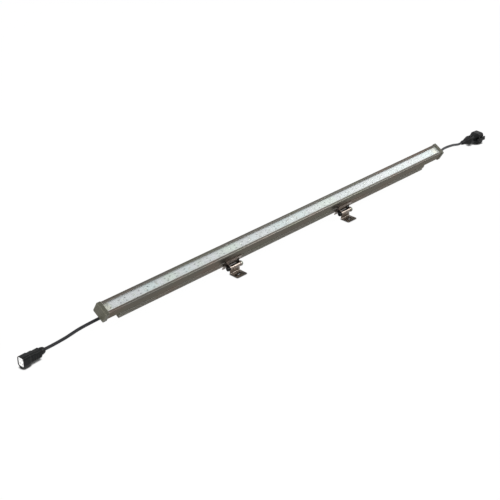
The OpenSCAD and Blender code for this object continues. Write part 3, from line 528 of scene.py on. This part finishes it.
# Small parts
# Resistors and diodes in black cases stand in a back row and a front row on each board. Each has a
# dull tinned cap at both ends, and their pattern repeats on every board.
ROW_Y = 3.2
PART_LEN = 2.0
END_SIZE = (0.4, 1.36, 0.64)
# Where the parts of a row stand, as shares of a board's length from its left end.
BACK_ROW = [0.141, 0.196, 0.333, 0.418, 0.589, 0.640, 0.694, 0.791, 0.899, 0.939]
FRONT_ROW = [0.044, 0.141, 0.196, 0.333, 0.395, 0.464, 0.604, 0.694, 0.791, 0.914]

# Moulded epoxy: the dark dots that show through the lens.
part_body = moulded("part_body", "101214", "1c1f21", rough=0.45, grain=0.3, gloss=0.3)
dress(part_body, "board_parts", "driver_parts")

# Tin over nickel, as plated: a grey end to each dot.
dull_tin = drawn_metal("dull_tin", "5c5e5e", "7c7d7c", rough=0.45)
grow(
    "part_ends", tab_tree,
    [
        (BAR_START + (b + share) * BOARD_LEN + s * PART_LEN / 2, y, BOARD_TOP + END_SIZE[2] / 2)
        for b in range(BOARD_COUNT)
        for row, y in ((BACK_ROW, ROW_Y), (FRONT_ROW, -ROW_Y))
        for share in row
        for s in (-1, 1)
    ],
    BAR, "bar", "screw_steel", size=Vector(END_SIZE) * MM, finish=dull_tin,
)


# Board screws and jumpers
# Nickel-plated screws hold the boards to the shelf, and short tinned jumpers are soldered across
# from each board to the next. The same plating is on the caps' screws and the latch's pin.

# Nickel plate, barrelled: a warm grey with a broken shine.
nickel = drawn_metal("nickel_plate", "8f8f8c", "b4b3af", rough=0.38, size=0.6)
dress(nickel, "board_screws", "cap_screw_left", "cap_screw_right", "latch_pin")
dress(tinned, "board_links")


# Wire chamber
# Out of sight under the shelf: the current regulator's glass-fibre board lies on the chamber's
# floor, and PVC-covered wires lead to it from both entries and up to the LED boards.

# Green solder mask, cured epoxy: deep and glassy.
green_mask = moulded("green_solder_mask", "16472a", "1f5a36", rough=0.4)
dress(green_mask, "driver_board")

# Extruded PVC: a waxy red or black.
red_pvc = moulded("red_pvc", "701712", "8f2018", rough=0.45)
dress(red_pvc, "supply_wires_left")
black_pvc = moulded("black_pvc", "141414", "202020", rough=0.5)
dress(black_pvc, "supply_wires_right", "feed_wires")


# Cable entries
# A glass-filled nylon block is screwed under each end of the channel, with a ribbed rubber boot
# moulded round the lead and a plated brass nut inside.

# Nylon, moulded: black, and a little shinier than the rubber beside it.
black_nylon = moulded("black_nylon", "08090a", "0e1011", rough=0.32, grain=0.5, gloss=0.16)
dress(black_nylon, "entry_block_left", "entry_block_right")

# Rubber, moulded: black and dry.
boot_rubber = moulded("boot_rubber", "0a0a0c", "121214", rough=0.4, grain=0.8, gloss=0.18)
dress(boot_rubber, "entry_boot_left", "entry_boot_right", "socket_boot")

# Brass under thin nickel: a pale yellow glint.
brass = drawn_metal("plated_brass", "a8925c", "cdb67c", rough=0.3)
dress(brass, "entry_nut_left", "entry_nut_right")


# Plug
# A black nylon shell round a white insert that carries four silvered pins in wells, with a sealing
# ring behind its shroud and a domed rubber boot, moulded on where the lead comes in.
dress(black_nylon, "plug_shell")

# White nylon, moulded: bright and smooth, the palest thing on the light.
white_insert = moulded("white_insert", "f6f6f5", "fdfdfc", rough=0.4, grain=0.4, depth=0.006)
dress(white_insert, "plug_insert", "socket_insert")

# Silver plate: small white glints in the wells.
silvered = drawn_metal("silver_plate", "cfcfcc", "ececea", rough=0.3)
dress(silvered, "plug_pins", "socket_contacts")

# Sealing-ring rubber: black, with an oily shine.
ring_rubber = moulded("ring_rubber", "0b0b0c", "131314", rough=0.35, gloss=0.3)
dress(ring_rubber, "plug_seal")

PLUG_AT, PLUG_TURN = Vector((-607, 40.2, 12.7)) * MM, math.radians(184.2)
PLUG = Matrix.Translation(PLUG_AT) @ Matrix.Rotation(PLUG_TURN, 4, "Z")
BOOT_LEN, BOOT_R, BOOT_SIDES = 12.2, 7.5, 48
# The boot's outline from the lead to the shell, as shares of its length and of its radius.
BOOT_SHARES = [
    (0.0, 0.41), (0.02, 0.52), (0.06, 0.62), (0.14, 0.73), (0.28, 0.84), (0.48, 0.93), (0.75, 0.98),
    (1.0, 1.0), (1.0, 0.85),
]
corners, faces = [], []
for share, r in BOOT_SHARES:
    for k in range(BOOT_SIDES):
        a = 2 * math.pi * k / BOOT_SIDES
        out = r * BOOT_R
        corners.append(
            PLUG @ (Vector((share * BOOT_LEN, out * math.cos(a), out * math.sin(a))) * MM)
        )
for i in range(0, (len(BOOT_SHARES) - 1) * BOOT_SIDES, BOOT_SIDES):
    for k in range(BOOT_SIDES):
        j = (k + 1) % BOOT_SIDES
        faces.append((i + k, i + BOOT_SIDES + k, i + BOOT_SIDES + j, i + j))
faces.append(tuple(range(BOOT_SIDES)))
faces.append(tuple(reversed(range(len(corners) - BOOT_SIDES, len(corners)))))
boot_mesh = bpy.data.meshes.new("plug_boot_dome")
boot_mesh.from_pydata(corners, [], faces)
boot_mesh.shade_smooth()
boot_mesh.materials.append(boot_rubber)
plug_boot = bpy.data.objects.new("plug_boot_dome", boot_mesh)
bpy.context.collection.objects.link(plug_boot)
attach(plug_boot, "bar")
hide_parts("plug_boot")


# Socket
# A black nylon shell that takes another light's plug, with a latch on its front side. Short ribs
# moulded across the grip keep wet fingers from slipping.
dress(black_nylon, "socket_shell", "socket_latch")
SOCKET_AT, SOCKET_TURN = Vector((655, 52, 13.5)) * MM, math.radians(-5.3)
SOCKET = (
    Matrix.Translation(SOCKET_AT)
    @ Matrix.Rotation(SOCKET_TURN, 4, "Z")
    @ Matrix.Rotation(math.radians(-90), 4, "X")
)
RIB_COUNT, RIB_PITCH, RIB_START = 6, 2.2, 23.0
RIB_SIZE = (0.8, 1.1, 8.0)
# The grip's half width where the ribs start, and how much it narrows with each millimetre.
GRIP_HALF, GRIP_TAPER = 9.754, 0.046
ribs = grow(
    "socket_ribs", tab_tree,
    [
        (RIB_START + i * RIB_PITCH, s * (GRIP_HALF - GRIP_TAPER * i * RIB_PITCH), 0)
        for i in range(RIB_COUNT) for s in (-1, 1)
    ],
    SOCKET, "bar", "moulded_black", size=Vector(RIB_SIZE) * MM, finish=black_nylon,
)


# Leads
# Two 6 mm rubber-sheathed leads, moulded into their entries and connectors. Each leaves its end
# of the bar level, bends down and ends in a connector that lies on the surface under the light.
LEAD_D = 6.0
# Points on each lead's middle line, from inside its entry to inside its connector.
LEFT_ROUTE = [
    (-470, 22.9, 34.7), (-480, 22.9, 34.7), (-491, 22.9, 34.7), (-504, 23, 34.6), (-515, 23.4, 34),
    (-526, 24.1, 33), (-535, 25.6, 31.3), (-544, 28, 28.4), (-553, 30.5, 24.8), (-563, 33.3, 20.8),
    (-574, 36, 17.5), (-585, 38.2, 14.9), (-596, 39.8, 13.2), (-607, 40.2, 12.7),
    (-616, 39.54, 12.7),
]
RIGHT_ROUTE = [
    (470, 22.9, 34.7), (480, 22.9, 34.7), (491, 22.9, 34.7), (505, 23.6, 34.7), (518, 26.1, 34.6),
    (535, 31.2, 34.2), (552, 36.8, 33.2), (570, 40.5, 30.8), (589, 43.2, 27.6), (606, 45.8, 24),
    (620, 48.2, 19.8), (632, 50.6, 16), (642, 52.3, 13.9), (650, 52.46, 13.5), (655, 52, 13.5),
    (663, 51.26, 13.5),
]
# Steps of the line from one point to the next, and the fineness of the lead's round.
ROUTE_STEPS, ROUND_STEPS = 6, 6
PLUG_NODES = ("plug_shell", "plug_insert", "plug_pins", "plug_seal")
SOCKET_NODES = (
    "socket_shell", "socket_insert", "socket_contacts", "socket_boot", "socket_latch", "latch_pin",
)

# Extruded rubber: black, greyed by its talc, with a soft light along its back.
lead_rubber = moulded("lead_rubber", "222225", "2e2e31", rough=0.30, grain=0.8, gloss=0.22)


def smooth(route):
    """The line through a route's points, rounded between them, in metres."""
    p = [Vector(q) * MM for q in route]
    p = [2 * p[0] - p[1]] + p + [2 * p[-1] - p[-2]]
    line = []
    for a, b, c, d in zip(p, p[1:], p[2:], p[3:]):
        for k in range(ROUTE_STEPS):
            t = k / ROUTE_STEPS
            line.append(
                0.5 * (2 * b + (c - a) * t + (2 * a - 5 * b + 4 * c - d) * t**2)
                + 0.5 * (3 * b - a - 3 * c + d) * t**3
            )
    return line + [p[-2].copy()]


for side, route, far_end, on_it in (
    ("left", LEFT_ROUTE, "plug", [plug_boot] + [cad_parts[n] for n in PLUG_NODES]),
    ("right", RIGHT_ROUTE, "connector", [ribs] + [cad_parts[n] for n in SOCKET_NODES]),
):
    line = smooth(route)
    curve = bpy.data.curves.new(side + "_lead", "CURVE")
    curve.dimensions = "3D"
    curve.bevel_depth = LEAD_D / 2 * MM
    curve.bevel_resolution = ROUND_STEPS
    curve.use_fill_caps = True
    spline = curve.splines.new("POLY")
    spline.points.add(len(line) - 1)
    for point, at in zip(spline.points, line):
        point.co = (*at, 1.0)
    spline.use_smooth = True
    curve.materials.append(lead_rubber)
    lead = bpy.data.objects.new(side + "_lead", curve)
    bpy.context.collection.objects.link(lead)
    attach(lead, "bar")
    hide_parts("lead_" + side)


# Clamps and feet
# Cut and bent from 1.8 mm stainless sheet: a clamp that hooks over the rail, hinged on a foot whose
# strip is rolled into a knuckle. Both are brushed along the bar, with painted shade in their
# corners.
CORNER_SHADE_SAMPLES, CORNER_SHADE_FULL, CORNER_SHADE_NONE = 24, 0.25, 0.75


def sheet_steel(name, low, high, corner_shade, rough, reach):
    """Brushed stainless sheet, darkened with painted shade in corners closer than a reach in
    millimetres.
    """
    material = drawn_metal(name, low, high, rough, stroke=20, size=0.5, depth=0.0015)
    tree = material.node_tree
    surface = tree.nodes["Principled BSDF"]
    unshaded_colour = surface.inputs["Base Color"].links[0].from_socket
    open_sky = add(
        tree, "ShaderNodeAmbientOcclusion", {"Distance": reach * MM}, samples=CORNER_SHADE_SAMPLES
    )
    openness = add(
        tree, "ShaderNodeMapRange",
        {"Value": open_sky.outputs["AO"], "From Min": CORNER_SHADE_FULL, "From Max": CORNER_SHADE_NONE},
    )
    # Painted shade: the colour turns to the shade colour where other surfaces close in.
    shaded_colour = add(
        tree, "ShaderNodeMix", {0: openness.outputs[0], 6: colour(corner_shade), 7: unshaded_colour},
        data_type="RGBA",
    )
    tree.links.new(shaded_colour.outputs[2], surface.inputs["Base Color"])
    return material


# Stainless sheet, brushed: broad soft reflections, softest on the clamp, and on the foot a bright
# line along its bend.
clamp_steel = sheet_steel("clamp_stainless", "7a716a", "867d76", "2a2320", rough=0.33, reach=9)
dress(clamp_steel, "clamp_plate_left", "clamp_plate_right")
foot_steel = sheet_steel("foot_stainless", "756d66", "7e766f", "2b2622", rough=0.2, reach=14)
dress(foot_steel, "foot_left", "foot_right")


# Bolts, nuts and washers
# Black-oxide socket head bolts hinge each clamp on its foot, with zinc-plated washers and nuts. The
# heads are knurled: straight ridges rolled round the rim, so that fingers can start them.

# Black oxide, from a hot bath: as even as moulded rubber, with a glint of the steel under it.
black_oxide = moulded(
    "black_oxide", "070707", "100f0f", rough=0.30, grain=0.4, depth=0.006, gloss=0.25, metal=0.4
)
dress(black_oxide, "pivot_bolt_left", "pivot_bolt_right")

# Clear zinc plate: a light grey, bright along its edges.
zinc = drawn_metal("zinc_plate", "96958f", "c4c1b9", rough=0.27, size=0.8)
dress(
    zinc, *[
        kind + "_" + side
        for kind in ("pivot_washer", "clamp_screw", "clamp_washer", "slot_nut")
        for side in ("left", "right")
    ],
)

# Zinc plate as on the washers, painted darker and greenish as a painted reflection of the dark room
# in the nuts.
shaded_zinc = drawn_metal("shaded_zinc", "4a4e46", "7d8376", rough=0.22, size=0.8)
dress(shaded_zinc, "pivot_nut_left", "pivot_nut_right")

FOOT_SPACING = 335.0
HEAD_R, HEAD_MIDDLE = 4.25, -17.5
KNURL_COUNT = 30
KNURL_SIZE = (0.36, 0.30, 3.4)
ring_tree, given = new_tree(
    "knurl_ring", ("Radius", "Float"), ("Count", "Int"), ("Size", "Vector"), ("Finish", "Material")
)
ring = add(
    ring_tree, "GeometryNodeCurvePrimitiveCircle",
    {"Resolution": given.outputs["Count"], "Radius": given.outputs["Radius"]},
)
stations = add(
    ring_tree, "GeometryNodeCurveToPoints",
    {"Curve": ring.outputs[0], "Count": given.outputs["Count"]},
)
ridge = add(ring_tree, "GeometryNodeMeshCube", {"Size": given.outputs["Size"]})
ridges = add(
    ring_tree, "GeometryNodeInstanceOnPoints",
    {
        "Points": stations.outputs["Points"],
        "Instance": ridge.outputs[0],
        "Rotation": stations.outputs["Rotation"],
    },
)
rings = add(
    ring_tree, "GeometryNodeInstanceOnPoints",
    {"Points": given.outputs["Geometry"], "Instance": ridges.outputs[0]},
)
close_tree(ring_tree, rings.outputs[0], given.outputs["Finish"])
for side, body, way in (("left", "clamp_l", -1), ("right", "clamp_r", 1)):
    at = HINGE_AT + Vector((way * FOOT_SPACING / 2 + HEAD_MIDDLE, 0, 0)) * MM
    grow(
        "head_knurl_" + side, ring_tree, [(0, 0, 0)],
        Matrix.Translation(at) @ Matrix.Rotation(math.radians(90), 4, "Y"), body, "bolt_black",
        radius=HEAD_R * MM, count=KNURL_COUNT, size=Vector(KNURL_SIZE) * MM, finish=black_oxide,
    )


# Stage
# A plain white floor and room: lit as pale paint, and pure white wherever the camera, a gloss or
# the lens looks straight at them. Close under the light the floor keeps its contact shadow.
FLOOR_HALF, FLOOR_DROP = 6000.0, 0.2
FLOOR_PAPER, PAPER_ROUGH = "dcdcdc", 0.9
SEEN_SHARE = 0.95
CONTACT_REACH, CONTACT_SAMPLES = 5.0, 16
CONTACT_FULL, CONTACT_NONE = 0.6, 0.92
CONTACT_DARK, PAPER_WHITE = 0.04, 1.03
floor_mesh = bpy.data.meshes.new("floor")
floor_mesh.from_pydata(
    [
        (x * FLOOR_HALF * MM, y * FLOOR_HALF * MM, -FLOOR_DROP * MM)
        for x, y in ((-1, -1), (1, -1), (1, 1), (-1, 1))
    ],
    [], [(0, 1, 2, 3)],
)
floor = bpy.data.objects.new("floor", floor_mesh)
bpy.context.collection.objects.link(floor)


def seen_directly(tree):
    """1 for what the camera, a gloss or a clear piece sees, and 0 for light on its way."""
    ray = add(tree, "ShaderNodeLightPath")
    first = add(
        tree, "ShaderNodeMath",
        {0: ray.outputs["Is Camera Ray"], 1: ray.outputs["Is Glossy Ray"]}, operation="MAXIMUM",
    )
    return add(
        tree, "ShaderNodeMath", {0: first.outputs[0], 1: ray.outputs["Is Transmission Ray"]},
        operation="MAXIMUM",
    ).outputs[0]


# Matt background paper: white, and grey only where the light stands or lies on it.
paper, tree, surface = new_finish(
    "floor_paper", Base_Color=colour(FLOOR_PAPER), Roughness=PAPER_ROUGH
)
contact = add(
    tree, "ShaderNodeAmbientOcclusion", {"Distance": CONTACT_REACH * MM}, samples=CONTACT_SAMPLES
)
shade = add(
    tree, "ShaderNodeMapRange",
    {
        "Value": contact.outputs["AO"], "From Min": CONTACT_FULL, "From Max": CONTACT_NONE,
        "To Min": CONTACT_DARK, "To Max": PAPER_WHITE,
    },
)
glow = add(tree, "ShaderNodeEmission", {"Strength": shade.outputs[0]})
share = add(tree, "ShaderNodeMath", {0: seen_directly(tree), 1: SEEN_SHARE}, operation="MULTIPLY")
mixed = add(
    tree, "ShaderNodeMixShader", {0: share.outputs[0], 1: surface.outputs[0], 2: glow.outputs[0]}
)
tree.links.new(mixed.outputs[0], tree.nodes["Material Output"].inputs["Surface"])
floor_mesh.materials.append(paper)

# Painted walls all round: an even white, which lights the object at half that strength.
ROOM_PAINT, ROOM_LIGHT = "ffffff", 0.5
world = bpy.data.worlds.new("room")
world.use_nodes = True
bpy.context.scene.world = world
tree = world.node_tree
tree.nodes.clear()
soft = add(tree, "ShaderNodeBackground", {"Color": colour(ROOM_PAINT), "Strength": ROOM_LIGHT})
white = add(tree, "ShaderNodeBackground", {"Color": colour(ROOM_PAINT), "Strength": 1.0})
room = add(
    tree, "ShaderNodeMixShader", {0: seen_directly(tree), 1: soft.outputs[0], 2: white.outputs[0]}
)
add(tree, "ShaderNodeOutputWorld", {"Surface": room.outputs[0]})

# A softbox on the right draws the bright lines along the rounded edges, and one on the left lights
# the end cap and the plug. Each has its place and size in metres and its power in watts.
for name, at, size, watts in (
    ("front_box", (1.7, -1.1, 1.78), (1.2, 1.0), 34),
    ("left_box", (-2.3, -0.8, 0.8), (1.4, 1.2), 29),
):
    lamp_data = bpy.data.lights.new(name, "AREA")
    lamp_data.shape = "RECTANGLE"
    lamp_data.size, lamp_data.size_y = size
    lamp_data.energy = watts
    lamp = bpy.data.objects.new(name, lamp_data)
    lamp.location = at
    lamp.rotation_euler = Vector(at).to_track_quat("Z", "Y").to_euler()
    bpy.context.collection.objects.link(lamp)

bpy.context.scene.view_settings.view_transform = "Standard"
